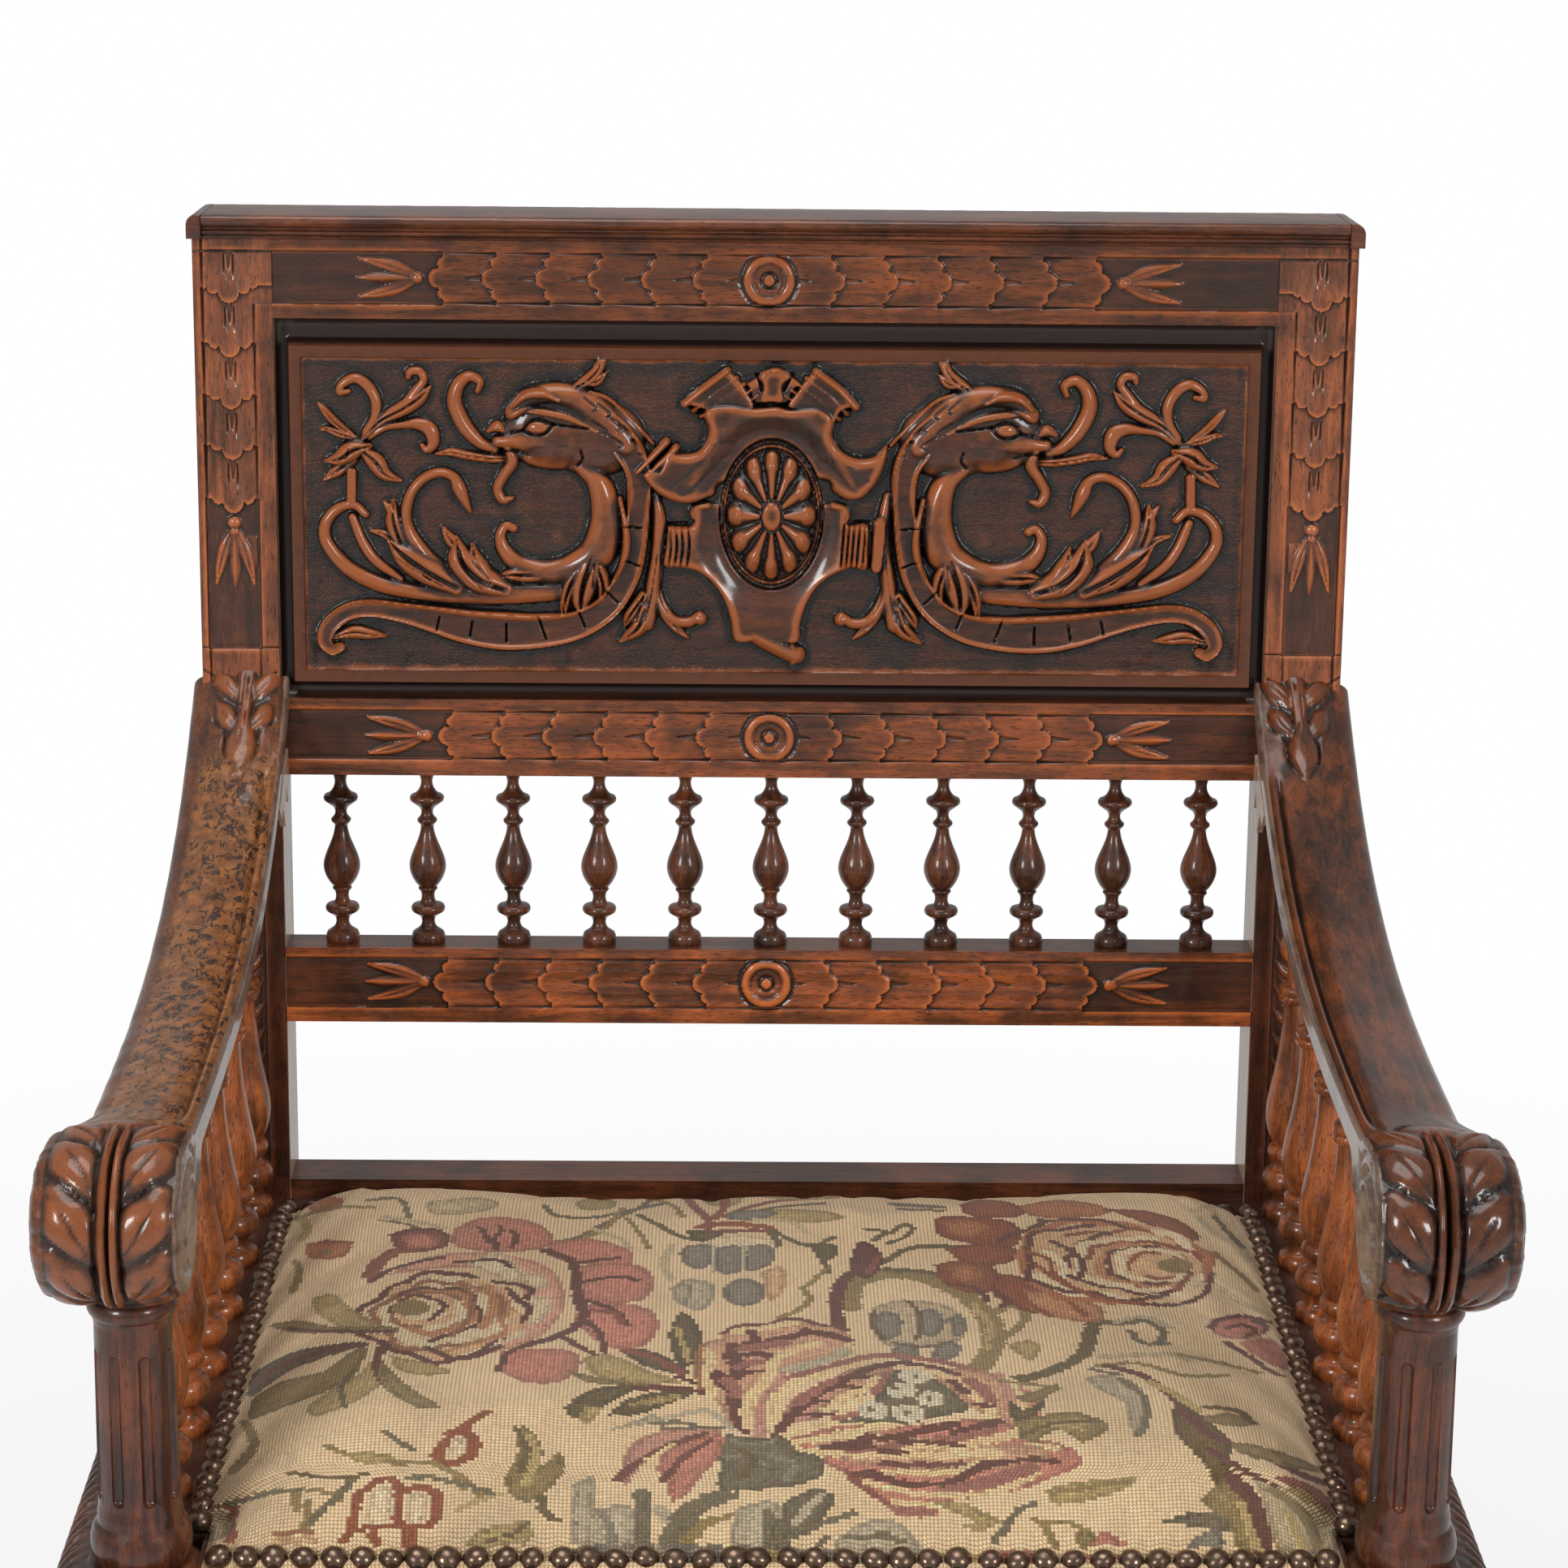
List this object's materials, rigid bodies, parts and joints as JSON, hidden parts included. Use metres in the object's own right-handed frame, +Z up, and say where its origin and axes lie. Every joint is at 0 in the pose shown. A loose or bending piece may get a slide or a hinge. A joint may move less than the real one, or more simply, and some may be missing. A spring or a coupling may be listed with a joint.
{
  "type": "carved armchair",
  "caption": "Open armchair of dark carved walnut: leaning back with a carved panel over turned balusters, scrolled arms on fluted posts, and a nailed needlepoint seat.",
  "frame": {"origin": "on the floor, under the middle of the chair's bounding box", "axes": "+Z up, -Y the way a sitter faces, +X to the right in a view from the front"},
  "size_m": [0.6326, 0.5158, 0.957],
  "materials": {
    "walnut": "waxed and rubbed, darker in the carving",
    "arm_walnut": "polished and worn by hands",
    "needlepoint": "wool stitches on canvas",
    "nail_brass": "antique, browned",
    "webbing": "plain woven jute",
    "stuffing": "matted fibre"
  },
  "bodies": {
    "root": {"arm_left": "arm_walnut", "arm_right": "arm_walnut", "back_baluster_01": "walnut", "back_baluster_02": "walnut", "back_baluster_03": "walnut", "back_baluster_04": "walnut", "back_baluster_05": "walnut", "back_baluster_06": "walnut", "back_baluster_07": "walnut", "back_baluster_08": "walnut", "back_baluster_09": "walnut", "back_baluster_10": "walnut", "back_baluster_11": "walnut", "back_seat_ledge": "walnut", "back_seat_rail": "walnut", "carved_panel": "walnut", "corner_blocks": "walnut", "crest_cap": "walnut", "crest_rail": "walnut", "cross_stretcher": "walnut", "front_foot_left": "walnut", "front_foot_right": "walnut", "front_leg_left": "walnut", "front_leg_right": "walnut", "front_seat_ledge": "walnut", "front_seat_moulding": "walnut", "front_seat_rail": "walnut", "left_seat_ledge": "walnut", "left_seat_moulding": "walnut", "left_seat_rail": "walnut", "lower_rail": "walnut", "mid_rail": "walnut", "rear_stile_left": "walnut", "rear_stile_right": "walnut", "right_seat_ledge": "walnut", "right_seat_moulding": "walnut", "right_seat_rail": "walnut", "seat_cover": "needlepoint", "seat_hessian": "webbing", "seat_nails": "nail_brass", "seat_stuffing": "stuffing", "seat_webbing": "webbing", "side_baluster_left_1": "walnut", "side_baluster_left_2": "walnut", "side_baluster_left_3": "walnut", "side_baluster_left_4": "walnut", "side_baluster_left_5": "walnut", "side_baluster_left_6": "walnut", "side_baluster_right_1": "walnut", "side_baluster_right_2": "walnut", "side_baluster_right_3": "walnut", "side_baluster_right_4": "walnut", "side_baluster_right_5": "walnut", "side_baluster_right_6": "walnut", "side_stretcher_left": "walnut", "side_stretcher_right": "walnut", "tenon_pegs": "walnut"}
  },
  "joints": []
}
